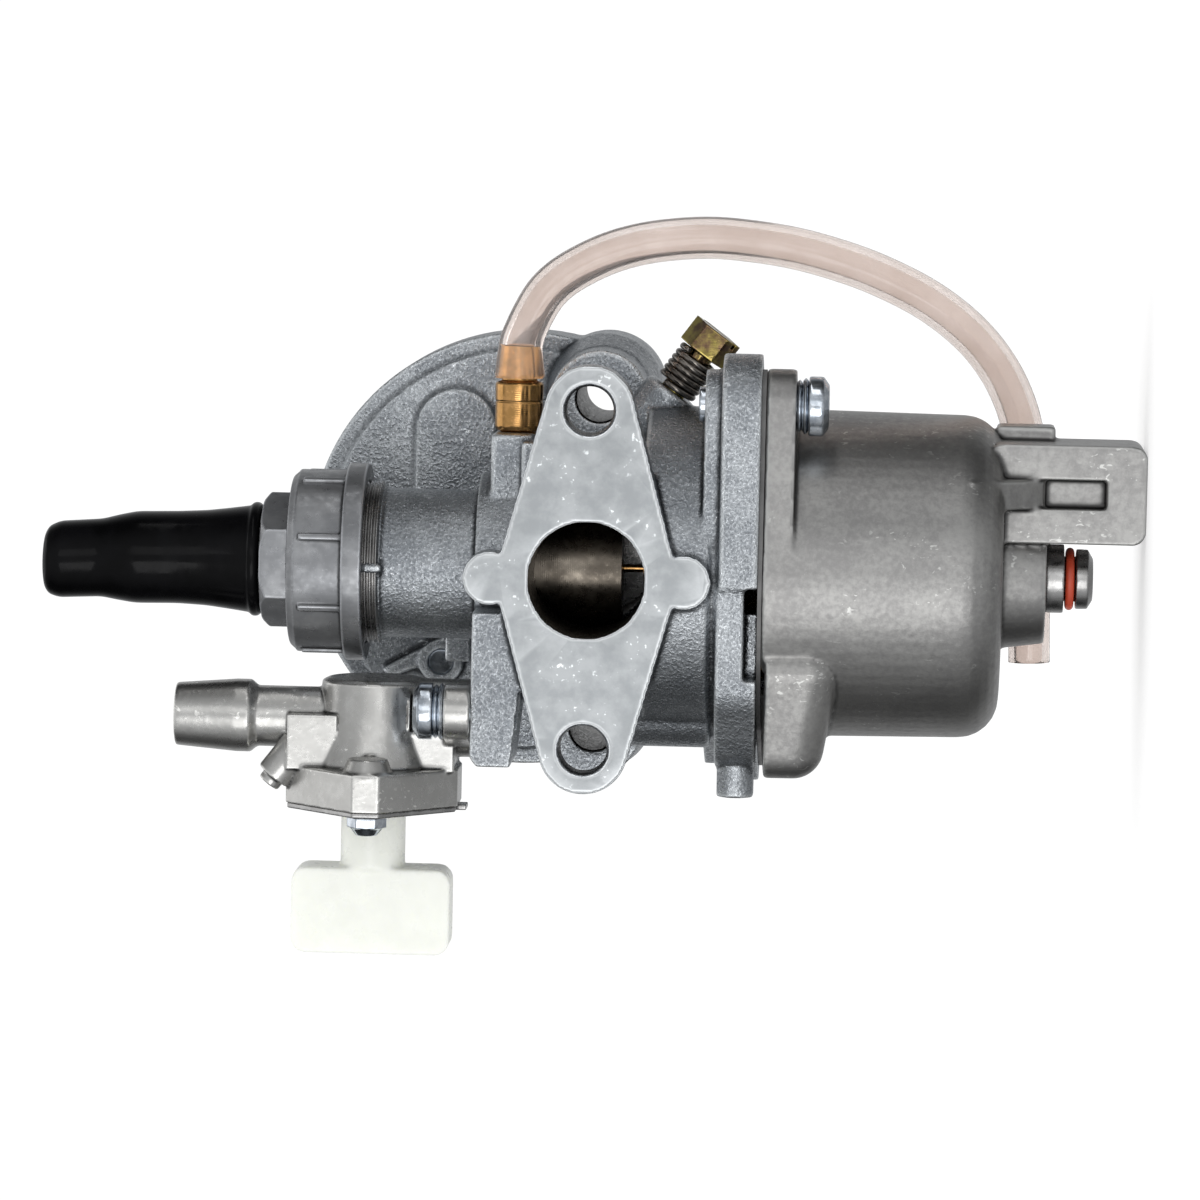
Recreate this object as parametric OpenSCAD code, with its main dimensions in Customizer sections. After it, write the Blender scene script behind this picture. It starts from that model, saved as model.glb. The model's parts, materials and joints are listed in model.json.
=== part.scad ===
// Slide carburettor for a small two-stroke engine, with a float bowl and a lever fuel tap.
// Millimetres. +Z runs up the throttle barrel, the engine flange faces -Y, the vent nipple is at +X.
// The origin is the centre of the throttle bore on the engine flange's face.

/* [Throat and engine flange] */
// Radius of the throttle bore
bore_r = 6.5; // [6.3:0.1:6.6]
// Distance between the two flange bolt holes
bolt_gap = 37.8; // [37.4:0.1:38.4]
// Radius of the bolt holes
bolt_hole_r = 2.65; // [2.5:0.05:2.8]
// Thickness of the engine flange
flange_t = 4.2; // [3.8:0.1:4.6]
// Radius of the flange round its middle
flange_mid_r = 10; // [9.6:0.1:10.4]
// Radius of the flange round each bolt hole
flange_end_r = 5; // [4.8:0.1:5.2]

/* [Throttle barrel] */
// Distance of the barrel's axis behind the flange face
barrel_y = 19; // [18.8:0.1:19.2]
// Outer radius of the barrel
barrel_r = 8.5; // [8.4:0.05:8.6]
// Height of the ring nut's lower face
nut_low = 25.8; // [25.6:0.1:26]
// Height of the barrel's threaded end
thread_top = 31.6; // [31.5:0.05:31.7]
// Radius of the throttle slide
slide_r = 7.2; // [7.1:0.02:7.22]
// Height of the slide's lower edge at idle
slide_idle = -3.4; // [-3.6:0.1:-3.2]

/* [Float bowl] */
// Outer radius of the bowl
bowl_r = 18.6; // [18.4:0.1:18.8]
// Thickness of the bowl's wall
bowl_wall = 1.6; // [1.4:0.1:1.8]
// Height of the bowl's mouth
bowl_top = -19.5; // [-19.6:0.1:-19.4]
// Height of the bowl's bottom face
bowl_bottom = -46.2; // [-46.4:0.1:-46]
// Height of the lower face of the bowl's rim
rim_low = -22.8; // [-23:0.1:-22.6]
// Distance of each bowl screw from the barrel's axis along X
screw_x = 19.6; // [19.4:0.1:19.8]
// Distance of each bowl screw from the barrel's axis along Y
screw_y = 12.9; // [12.8:0.1:13]

/* [Air pan] */
// Outer radius of the pan
pan_r = 25.3; // [25.1:0.1:25.5]
// Height of the pan's centre above the throttle bore
pan_z = 9.1; // [9:0.1:9.2]
// Distance of the pan's front face behind the flange face
pan_y = 38.2; // [38.1:0.1:38.4]
// Depth of the pan from front to back
pan_depth = 11; // [10:0.5:12]

/* [Fuel tap] */
// Distance of the lever's axis behind the flange face
tap_y = 12; // [11.9:0.1:12.1]
// Height of the lever's axis
tap_z = 24.1; // [24:0.1:24.2]
// Depth of the tap's base plate below the bore
tap_base_x = -22.3; // [-22.4:0.1:-22.2]
// Width of the lever's grip
grip_w = 18; // [17:0.5:19]
// Height of the lever's grip
grip_h = 9.6; // [9:0.2:10]

/* [Vent hose] */
// Outer diameter of the clear hose
hose_d = 4.8; // [4.6:0.1:5]

/* [Hidden] */
$fn = 64;
e = 0.01;
bolt_x = bolt_gap / 2;
roof_top = -6;
roof_end = -19;
thread_r = 9.25;
thread_low = 24;
pitch = 0.75;
slide_len = 22;
slide_floor = 2.4;
slide_bore_r = slide_r + 0.05;
ring_top = 34.4;
insert_top = 37.7;
insert_neck_r = 6.5;
adjuster_r = 3;
boot_bottom = 37.8;
boot_top = 62.8;
needle_r = 0.45;
nipple_z = 8.9;
nipple_y = 18.6;
wire = 0.9;
post_r = 4.2;
float_z = [-37, -26];
pivot = [-12.6, -20.9];
pin_r = 0.8;
seat_x = -9.4;
idle_out = [0.805, 0, -0.594];
idle_base = [19.7, 20, -8.1];
idle_len = 6;
idle_seat = 0.68;
idle_head = 3.2;
tap_screw = [-15.5, 4.9];
tap_neck = [-16.8, 11];
drop_x = -12.4;
passage_z = -12.9;
neck_r = 4.4;
tap_face = 12.8;
lug_top = 15.8;
disc_r = 7.4;
base_t = 4.3;
drain_face = -51.2;
choke_pivot = [-12.9, 18.5];
choke_y = 41.2;
pan_floor = 2.6;

// Hose route, from inside the nipple's end round to the cut end behind the drain boss
HOSE = [
    [21.4, 18.6, 8.9], [23.6, 18.6, 8.9], [25.8, 18.7, 8.7], [28.7, 18.8, 7.5], [31.3, 18.9, 5.9],
    [33.4, 19, 3.5], [35.5, 19.1, -0.4], [36.8, 19.3, -4.4], [37.5, 19.6, -8.8], [37.7, 20, -13.2],
    [37.3, 20.6, -18], [36.6, 21.2, -22.4], [35.4, 22, -27], [33.9, 22.9, -31.3], [31.6, 24, -36.2],
    [29.1, 25.2, -40], [26.3, 26.6, -43.1], [23.2, 27.9, -45.5], [20, 28.9, -47.2], [16.8, 29.5, -48.3],
    [13, 29.8, -49], [8.5, 29.9, -49.4], [4, 29.9, -49.6], [-1, 29.9, -49.7], [-6, 29.9, -49.8],
    [-10.6, 29.9, -49.9]
];

// ---- Shared shapes ----

// Cylinder along Z between two heights
module post(r, z0, z1) { translate([0, 0, z0]) cylinder(r = r, h = z1 - z0); }

// Cone along Z from radius r0 at z0 to radius r1 at z1
module taper(r0, r1, z0, z1) { translate([0, 0, z0]) cylinder(r1 = r0, r2 = r1, h = z1 - z0); }

// Ring along Z between two heights
module ring(r, r_in, z0, z1) {
    difference() {
        post(r, z0, z1);
        post(r_in, z0 - 1, z1 + 1);
    }
}

// Box from one corner to the opposite one
module block(a, b) { translate(a) cube(b - a); }

// Turns a shape drawn along Z so that it runs along +Y, with its X kept and its Y becoming -Z
module along_y() { rotate([-90, 0, 0]) children(); }

// Turns a shape drawn along Z so that it runs along +X
module along_x() { rotate([0, 90, 0]) children(); }

// Flat outline drawn in X and Z, made solid from y0 back to y1
module slab(y0, y1) {
    translate([0, y1, 0]) rotate([90, 0, 0]) linear_extrude(y1 - y0) children();
}

// Moves a shape onto the barrel's axis
module on_barrel() { translate([0, barrel_y, 0]) children(); }

// Hexagon prism of a given width across its flats
module hex(af, z0, z1) { translate([0, 0, z0]) cylinder(r = af / sqrt(3), h = z1 - z0, $fn = 6); }

function unit(v) = v / norm(v);

// Corners of a ring round point p, square to direction d
function ring_points(p, d, r, n) =
    let (side = unit(cross(d, abs(d[1]) < 0.9 ? [0, 1, 0] : [1, 0, 0])), up = cross(side, d))
    [for (i = [0 : n - 1]) p + r * (cos(360 * i / n) * side + sin(360 * i / n) * up)];

// Solid of round section swept along a list of points
module sweep(path, r, n) {
    last = len(path) - 1;
    rings = [
        for (i = [0 : last])
            each ring_points(path[i], unit(path[min(i + 1, last)] - path[max(i - 1, 0)]), r, n)
    ];
    sides = [
        for (i = [0 : last - 1], j = [0 : n - 1])
            let (a = i * n + j, b = i * n + (j + 1) % n)
            each [[a, b, b + n], [a, b + n, a + n]]
    ];
    ends = [[for (j = [n - 1 : -1 : 0]) j], [for (j = [0 : n - 1]) last * n + j]];
    polyhedron(rings, concat(sides, ends), convexity = 10);
}

// Coil spring along Z with closed ends: two tight turns at each end
function coil_z(t, turns, z0, z1, w) =
    t < 1 ? z0 + w / 2 + w * t
    : t > turns - 1 ? z1 - w / 2 - w * (turns - t)
    : z0 + 1.5 * w + (z1 - z0 - 3 * w) * (t - 1) / (turns - 2);

module coil(r, turns, z0, z1, w, steps, sides) {
    path = [
        for (i = [0 : turns * steps])
            let (t = i / steps)
            [r * cos(360 * t), r * sin(360 * t), coil_z(t, turns, z0, z1, w)]
    ];
    sweep(path, w / 2 * 0.97, sides);
}

// ---- Body casting ----

// Outline of the engine flange: a long diamond with two small side ears
module flange_outline() {
    hull() {
        circle(flange_mid_r);
        for (s = [-1, 1]) translate([s * bolt_x, 0]) circle(flange_end_r);
    }
    for (s = [-1, 1]) translate([0, s * 10.8]) circle(3);
}

// Flat joint between roof and bowl: a round plate with an ear at each screw
module joint_outline(r, ear_r) {
    hull() {
        circle(r);
        for (s = [-1, 1]) translate([s * screw_x, -s * screw_y]) circle(ear_r);
    }
}

// Rail along the low front edge of the joint, which carries the overflow passage
module overflow_rail(z0, z1) {
    translate([0, 0, z0]) linear_extrude(z1 - z0) hull() {
        translate([-1.65, 0.7]) square([1, 8]);
        translate([-11, 6.1]) circle(5.4);
        translate([-16.6, 9.4]) circle(4.6);
        translate([-9, 14]) square(4);
    }
}

// Float chamber roof, with the stepped joint flange under it
module float_roof() {
    on_barrel() {
        post(bowl_r, -13.5, roof_top);
        translate([0, 0, -14.6]) linear_extrude(1.9) joint_outline(bowl_r - 0.6, 3.9);
        translate([0, 0, roof_end]) linear_extrude(4.4) intersection() {
            joint_outline(bowl_r + 0.1, 5.7);
            union() {
                translate([-0.6, -40]) square([40, 80]);
                translate([-40, -1]) square([80, 40]);
            }
        }
        difference() {
            post(bowl_r - 0.8, roof_end, -14.5);
            block([-10.9, -20, -20], [-0.65, -14.6, -17.55]);
        }
    }
    overflow_rail(-17.55, -14.4);
    intersection() {
        overflow_rail(roof_end, -17.5);
        block([-30, 0, -20], [-10.9, 20, -17]);
    }
    translate([0, 9.9, -16.8]) along_x() taper(2.1, 2.15, -24.8, -14);
    // rounded housing of the fuel passage, running into the chamber
    hull() {
        translate([-14.4, 15.5, 0]) post(5.5, -13.7, -4.1);
        translate([-5, 17, 0]) post(9, -13.7, -4.1);
    }
}

// Mixing chamber between flange and barrel, with its side walls
module mixing_chamber() {
    along_y() post(9.4, 3, 12);
    on_barrel() post(10.6, -7, 13);
    block([-14.6, 9, -7], [14.6, 29, 8]);
    block([-14.6, 12, 7], [15.3, 26, 11.6]);
    along_y() post(9.2, 28, pan_y + 1);
    on_barrel() {
        post(barrel_r, 8, thread_low + 1);
        post(thread_r - 0.4, thread_low, thread_top);
        for (z = [thread_low : pitch : thread_top - pitch / 2]) ring(thread_r, thread_r - 1, z, z + pitch / 2);
        // small key on the front of the thread's run-out
        block([-0.35, -9.5, thread_low - 0.4], [0.35, -8, nut_low - 0.2]);
    }
}

// Wall that carries the fuel tap, running down beside the flange
module tap_wall() {
    slab(2.6, 15.4) polygon([
        [-4, 7.6], [-4, tap_face], [-20.4, tap_face], [-21.4, 12], [-21.4, 8.2], [-14, 7.4]
    ]);
}

// Round pan behind the body, open to the back, with a pillar for each engine bolt
module air_pan() {
    front = pan_y;
    translate([0.4, 0, pan_z]) along_y() {
        post(pan_r - 2, front, front + 1.5);
        post(pan_r, front + 0.45, front + pan_depth);
    }
    for (s = [-1, 1]) translate([s * bolt_x, 0, 0]) along_y() {
        post(5.6, 24, front + 1);
        taper(5.8, s > 0 ? 6.9 : 6.4, front - 6, front + 0.4);
        post(s > 0 ? 6.9 : 6.4, front + 0.3, front + pan_depth);
    }
    // shallow arched pad, cast rib and small boss on the front face
    slab(front - 0.6, front + 0.2) {
        translate([14.3, 17.3]) circle(4.7);
        translate([6, 12.6]) square([8.3, 9.4]);
    }
    slab(front - 2.2, front + 0.5) polygon([[-13.9, 25.4], [-9.8, 18], [-12.2, 17.4], [-15, 24.6]]);
    translate([choke_pivot[0], 0, choke_pivot[1]]) along_y() post(2.6, front - 2.6, front + 0.5);
    slab(27, front + 0.5) polygon([[-9, 14.4], [-9, 17.4], [-12, 17.4], [-12, 14.4]]);
    // webs from the chamber back to the pan
    block([-14, 24, -2.4], [-18, front + 0.5, 2.4]);
    block([14, 24, -2.4], [18, front + 0.5, 2.4]);
}

// Boss that carries the idle stop screw
module idle_boss() {
    translate(idle_base) rotate([0, acos(idle_out[2]), 0]) {
        post(3.3, -11, idle_seat - 0.4);
        taper(3.3, 2.9, idle_seat - 0.4, idle_seat);
    }
}

// Holes cut in the body casting
module body_holes() {
    along_y() {
        post(bore_r, -1, pan_y + 5);
        taper(bore_r, 8.3, pan_y - 1, pan_y + pan_floor + e);
    }
    for (s = [-1, 1]) translate([s * bolt_x, 0, 0]) along_y() {
        post(bolt_hole_r, -1, pan_y + pan_depth + 1);
        taper(bolt_hole_r + 0.4, bolt_hole_r - 0.1, -e, 0.5);
    }
    on_barrel() {
        post(slide_bore_r, -6.6, thread_top + 1);
        post(15, roof_end - 1, -15.5);
        for (s = [-1, 1]) translate([s * screw_x, -s * screw_y, 0]) post(2.02, -20, -11);
    }
    // inside of the pan
    difference() {
        translate([0.4, 0, pan_z]) along_y() post(pan_r - 2.2, pan_y + pan_floor, 60);
        for (s = [-1, 1]) translate([s * bolt_x, 0, 0]) along_y() post(5, 30, 60);
        translate([choke_pivot[0], 0, choke_pivot[1]]) along_y() post(2.6, 30, pan_y + pan_floor + 0.35);
    }
    translate([choke_pivot[0], 0, choke_pivot[1]]) along_y() post(1.52, pan_y - 4, 60);
    // sockets of the nipple, idle screw, fuel passage and tap screw
    translate([0, nipple_y, nipple_z]) along_x() post(2.02, 10, 20);
    translate(idle_base) rotate([0, acos(idle_out[2]), 0]) post(1.55, -17, 2);
    translate([tap_screw[0], tap_screw[1], 0]) post(1.92, 6, 14);
    // fuel passage from the tap's outlet down to the needle seat
    translate([tap_neck[0], tap_neck[1], 0]) {
        post(1, 10, 14);
        post(2.6, tap_face - 1.2, 14);
    }
    translate([0, tap_neck[1], 10]) along_x() post(1, tap_neck[0] - 0.9, drop_x);
    translate([drop_x, tap_neck[1], 0]) {
        post(1, passage_z, 10.9);
        translate([0, 0, passage_z]) rotate(atan2(barrel_y - tap_neck[1], seat_x - drop_x)) along_x()
            post(1, 0, norm([seat_x - drop_x, barrel_y - tap_neck[1]]));
    }
    // overflow passage along its rail and out of the spigot
    translate([0, 9.9, -16.8]) along_x() post(1.25, -30, -12);
    // sockets of the seat, the needle jet and the pilot jet
    translate([seat_x, barrel_y, 0]) post(2.52, -17, -12.5);
    on_barrel() {
        post(1.92, -40, -5);
        translate([6.2, 0, 0]) post(1.42, -30, -7);
    }
}

module carb_body() {
    color("#a4a9af") difference() {
        union() {
            difference() {
                union() {
                    slab(0, flange_t) flange_outline();
                    float_roof();
                    mixing_chamber();
                    tap_wall();
                    air_pan();
                    idle_boss();
                }
                body_holes();
            }
            // jet post and pilot post inside the float chamber, ears for the float pin
            on_barrel() {
                ring(post_r, 1.92, -31, -15);
                translate([6.2, 0, 0]) ring(2.6, 1.42, -24, -15);
                for (s = [-1, 1])
                    block([pivot[0] - 1.1, s * 5.7 - 0.7, -22.1], [pivot[0] + 1.1, s * 5.7 + 0.7, -15]);
            }
            translate([seat_x, barrel_y, 0]) ring(3.6, 2.52, -16.5, -15);
        }
        on_barrel() translate([pivot[0], 0, pivot[1]]) along_y() post(pin_r, -8, 8);
    }
}

// ---- Float bowl and its fasteners ----

// Half section of the bowl's outside or inside, with a rounded bottom corner
module bowl_section(r, bottom, corner) {
    polygon(concat(
        [[0, bowl_top], [r, bowl_top], [r - 0.3, bottom + corner]],
        [for (a = [0 : 15 : 90]) [r - 0.3 - corner + corner * cos(a), bottom + corner - corner * sin(a)]],
        [[0, bottom]]
    ));
}

// Bulge on the low front side, over the float's hinge
module bowl_bulge() {
    hull() for (p = [[-10.1, 5.4, -24.7], [-18.8, 7.4, -23.2], [-18.8, 17, -23.2], [-10.1, 17, -24.7]]) {
        translate(p) sphere(3.5, $fn = 32);
        translate([p[0], p[1], bowl_top - 1]) cylinder(r = 3.5, h = 0.5, $fn = 32);
    }
}

// Bracket under the bowl that guards the drain screw and holds the hose
module bowl_bracket() {
    difference() {
        hull() for (x = [6, 14.1], z = [-60.7, -46]) translate([x, 11, z]) along_y() cylinder(r = 1.5, h = 14);
        block([8.4, 10, -57.7], [11.7, 13.4, -46.6]);
        block([8.3, 16, -57.7], [11.8, 26, -46.6]);
        block([3, 13, -70], [6, 23.4, -48.4]);
    }
    // fin from the bowl's corner down to the bracket's slot
    translate([8.4, 0, 0]) rotate([90, 0, 90]) linear_extrude(3.3)
        polygon([[4.6, -42.6], [11.9, -50.8], [14, -50.8], [14, -42.6]]);
    block([15.2, 19, -52], [17.2, 25, -45.4]);
}

module float_bowl() {
    color("#8f8d8a") difference() {
        union() {
            on_barrel() rotate_extrude() bowl_section(bowl_r, bowl_bottom, 4.5);
            on_barrel() translate([0, 0, rim_low]) linear_extrude(bowl_top - rim_low)
                joint_outline(bowl_r - 0.1, 4.1);
            bowl_bulge();
            bowl_bracket();
            on_barrel() taper(7.4, 8.2, drain_face, bowl_bottom + 1);
        }
        on_barrel() {
            difference() {
                rotate_extrude() translate([0, 0.01]) bowl_section(bowl_r - bowl_wall, -44.6, 3);
                taper(5.4, 4.6, -45, -42.4);
            }
            post(2.42, -60, -41);
            for (s = [-1, 1]) translate([s * screw_x, -s * screw_y, 0]) post(2.15, -30, -15);
        }
        translate([-10.6, 5.4, 0]) post(2.1, -24.4, -10);
    }
}

module bowl_gasket() {
    color("#2b2b2b") on_barrel() translate([0, 0, bowl_top + 0.02]) linear_extrude(0.46) difference() {
        joint_outline(bowl_r - 0.2, 4);
        circle(15.4);
        for (s = [-1, 1]) translate([s * screw_x, -s * screw_y]) circle(2.15);
    }
}

// Cheese-head screw with a domed top, pointing up, with a cross recess
module screw(shank_r, shank, head_r, head_h) {
    difference() {
        union() {
            post(shank_r, 0, shank);
            post(head_r, -head_h * 0.7, 0);
            taper(head_r * 0.72, head_r, -head_h, -head_h * 0.7);
        }
        for (a = [0, 90]) rotate(a) block([-head_r * 0.6, -0.4, -head_h - 1], [head_r * 0.6, 0.4, -head_h * 0.45]);
    }
}

module bowl_screws() {
    color("#c9ced4") on_barrel() for (s = [-1, 1])
        translate([s * screw_x, -s * screw_y, -24.15]) screw(1.98, 12.2, 3.35, 2.3);
}

module bowl_screw_washers() {
    color("#b8bec6") on_barrel() for (s = [-1, 1])
        translate([s * screw_x, -s * screw_y, 0]) ring(3.1, 2.05, -24.12, -22.84);
}

module drain_screw() {
    color("#c4c6c8") on_barrel() {
        post(2.4, -53, -44);
        post(3.9, -53.3, drain_face - 0.05);
        post(2.5, -54.7, -53);
        difference() {
            union() {
                post(3.4, -56, -54.65);
                taper(2.4, 3.4, -56.6, -56);
            }
            block([-4, -0.45, -58], [4, 0.45, -55.6]);
        }
    }
}

module drain_seal() {
    color("#b5412c") on_barrel() rotate_extrude() translate([3.06, -53.97]) circle(0.5);
}

// ---- Barrel cap, cable adjuster and boot ----

module ring_nut() {
    color("#6f7276") on_barrel() difference() {
        union() {
            ring(11.25, thread_r + 0.05, nut_low, 28.1);
            ring(10.4, thread_r + 0.05, 28, 33.6);
            difference() {
                taper(10.4, 9.6, 33.5, ring_top);
                post(insert_neck_r + 0.1, 33, 35);
            }
            for (i = [0 : 7]) rotate(45 * i - 71) block([9.9, -0.35, 28], [10.8, 0.35, 32.9]);
            ring(9.8, insert_neck_r + 0.1, 32.75, 33.8);
        }
        post(insert_neck_r + 0.1, 30, 40);
    }
}

module cap_seal() {
    color("#1c1c1c") on_barrel() ring(9.2, 8.25, thread_top + 0.02, 32.72);
}

module cap_insert() {
    color("#7b7f83") on_barrel() difference() {
        union() {
            post(8.2, thread_top + 0.05, 32.7);
            post(insert_neck_r, 32.6, ring_top + 0.1);
            intersection() {
                hex(13.4, ring_top + 0.02, insert_top);
                taper(9.6, 6.8, 35.4, insert_top + 0.02);
            }
            hex(13.4, ring_top + 0.02, 35.5);
        }
        post(adjuster_r + 0.05, 30, 40);
        post(5.2, 36.6, 40);
    }
}

module adjuster_lock_nut() {
    color("#b9bcc0") on_barrel() difference() {
        hex(8, 36.65, 38.6);
        post(adjuster_r + 0.05, 35, 40);
    }
}

module cable_adjuster() {
    color("#b9bcc0") on_barrel() difference() {
        union() {
            post(adjuster_r, thread_top + 0.1, 44);
            hex(8, 40.2, 43);
            post(2.6, 43.5, 52);
        }
        post(1.3, 30, 60);
    }
}

module rubber_boot() {
    color("#161616") on_barrel() rotate_extrude() difference() {
        polygon([
            [0, boot_bottom], [5.9, boot_bottom], [6.5, 38.3], [6.5, 38.8], [6.15, 39.2], [5.75, 41.8],
            [5.45, 44.2], [5.25, 52.3], [4.45, 56.2], [4.4, 61.2], [3.9, 62.3], [3, boot_top], [0, boot_top]
        ]);
        polygon([
            [0, 30], [4.75, 30], [4.75, 43.05], [3.02, 43.9], [3.02, 52.1], [1.6, 53.4], [1.6, 70], [0, 70]
        ]);
    }
}

// ---- Throttle slide group ----

module throttle_slide() {
    color("#7d7264") on_barrel() difference() {
        post(slide_r, slide_idle, slide_idle + slide_len);
        post(slide_r - 1.1, slide_idle + slide_floor, 40);
        post(needle_r + 0.02, -10, 10);
        // sloping cutaway on the air side and groove for the idle screw
        translate([-10, 0, slide_idle]) rotate([14, 0, 0]) block([0, 0, -5], [20, 12, 0]);
        block([6.5, 0.2, -4], [8, 1.8, 12]);
    }
}

module throttle_spring() {
    color("#b4b8bd") on_barrel() coil(5.3, 11, 0.65, thread_top + 0.02, wire, 20, 6);
}

module spring_seat() {
    color("#e8e4d8") on_barrel() ring(6, 0.8, slide_idle + 3, slide_idle + 4);
}

module jet_needle() {
    color("#c08a45") on_barrel() {
        post(needle_r, -8, 0.2);
        taper(0.25, needle_r, -17, -8 + e);
    }
}

module needle_clip() {
    color("#c9ced4") on_barrel() difference() {
        ring(1.7, needle_r + 0.02, slide_idle + slide_floor + 0.02, slide_idle + slide_floor + 0.5);
        block([-0.4, 0, -3], [0.4, 3, 3]);
    }
}

// ---- Idle stop screw ----

module on_idle() { translate(idle_base) rotate([0, acos(idle_out[2]), 0]) children(); }

module idle_screw() {
    color("#c8a858") on_idle() difference() {
        union() {
            post(1.5, -13.6, idle_len + 0.2);
            taper(0.5, 1.5, -15.4, -13.6 + e);
            hex(5.3, idle_len + 0.02, idle_len + idle_head);
        }
        rotate(65) block([-0.4, -4, idle_len + idle_head - 0.9], [0.4, 4, 20]);
    }
}

module idle_spring() {
    color("#8d8474") on_idle() coil(2.2, 6, idle_seat + 0.02, idle_len, 0.82, 16, 6);
}

// ---- Vent nipple and hose ----

module vent_nipple() {
    color("#bd8f4e") translate([0, nipple_y, nipple_z]) along_x() difference() {
        union() {
            post(2, 11, 15.4);
            taper(2.45, 2.75, 15.32, 15.9);
            post(2.75, 15.8, 21);
            post(1.5, 20.9, 22.4);
            taper(1.9, 1.5, 22.4, 25.2);
        }
        post(1, 10, 30);
    }
}

module vent_hose() {
    color("#e4cfc4") difference() {
        sweep(HOSE, hose_d / 2, 14);
        translate([0, nipple_y, nipple_z]) along_x() post(1.94, 19, 25.3);
    }
}

// ---- Float chamber pieces ----

module float() {
    color("#e6e2d0") on_barrel() difference() {
        union() {
            ring(14, 8.4, float_z[0], float_z[1]);
            for (s = [-1, 1])
                block([pivot[0] - 1.2, s * 4 - 0.8, float_z[1] - 0.5], [pivot[0] + 1.2, s * 4 + 0.8, -19.9]);
            block([pivot[0] - 0.6, -4.5, -23.6], [seat_x + 1.5, 4.5, -22.9]);
        }
        translate([pivot[0], 0, pivot[1]]) along_y() post(pin_r + 0.06, -8, 8);
    }
}

module float_pin() {
    color("#c9ced4") on_barrel() translate([pivot[0], 0, pivot[1]]) along_y() post(pin_r - 0.02, -6.4, 6.4);
}

module float_needle() {
    color("#b4b8bd") translate([seat_x, barrel_y, 0]) {
        post(0.6, -22.88, -22.1);
        post(1.35, -22.2, -18.2);
        taper(1.35, 0.4, -18.2, -17);
    }
}

module needle_seat() {
    color("#bd8f4e") translate([seat_x, barrel_y, 0]) difference() {
        union() {
            post(2.5, -17.6, -12.6);
            hex(5.6, -20, -16.55);
        }
        post(1.42, -30, -16.2);
        post(0.8, -20, -10);
    }
}

module needle_jet() {
    color("#bd8f4e") on_barrel() ring(1.9, 0.58, -30, -5.7);
}

module main_jet() {
    color("#bd8f4e") on_barrel() difference() {
        union() {
            post(1.9, -32, -30.1);
            hex(5, -35.4, -31.05);
        }
        post(0.45, -40, -20);
    }
}

module pilot_jet() {
    color("#bd8f4e") on_barrel() translate([6.2, 0, 0]) difference() {
        union() {
            post(1.4, -24.02, -10);
            post(1.9, -25.7, -24.02);
        }
        post(0.4, -30, 0);
        block([-3, -0.3, -27], [3, 0.3, -25.1]);
    }
}

// ---- Choke ----

module on_choke() { translate([choke_pivot[0], 0, choke_pivot[1]]) along_y() children(); }

module choke_shutter() {
    turn = atan2(-choke_pivot[1], -choke_pivot[0]);
    color("#9aa0a6") difference() {
        union() {
            slab(choke_y, choke_y + 1) hull() {
                translate(choke_pivot) circle(4);
                circle(8.6);
            }
            rotate([0, -turn, 0]) block([4.4, choke_y + 0.5, -3], [5.4, choke_y + 6, 3]);
        }
        on_choke() post(2.06, 30, 60);
        along_y() post(1.2, 30, 60);
    }
}

module choke_pivot_screw() {
    color("#c9ced4") on_choke() difference() {
        union() {
            post(1.5, pan_y - 2, choke_y + 1.5);
            post(2, choke_y - 0.04, choke_y + 1.5);
            post(3.2, choke_y + 1.45, choke_y + 3.2);
        }
        block([-5, -0.4, choke_y + 2.4], [5, 0.4, 60]);
    }
}

module choke_washer() {
    color("#b8bec6") on_choke() ring(3.1, 2.05, choke_y + 1.03, choke_y + 1.43);
}

// ---- Fuel tap ----

// Moves a shape drawn along -X from the tap's lever axis
module on_tap() { translate([0, tap_y, tap_z]) rotate([0, -90, 0]) children(); }

// Outline of the tap's base and retainer: eight flats, with a narrow one at the front and the back
module tap_outline(r, reach) {
    polygon([
        [r, -3.6], [r, 3.6], [1.5, reach], [-1.5, reach], [-r, 3.6], [-r, -3.6], [-1.5, -reach], [1.5, -reach]
    ]);
}

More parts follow.
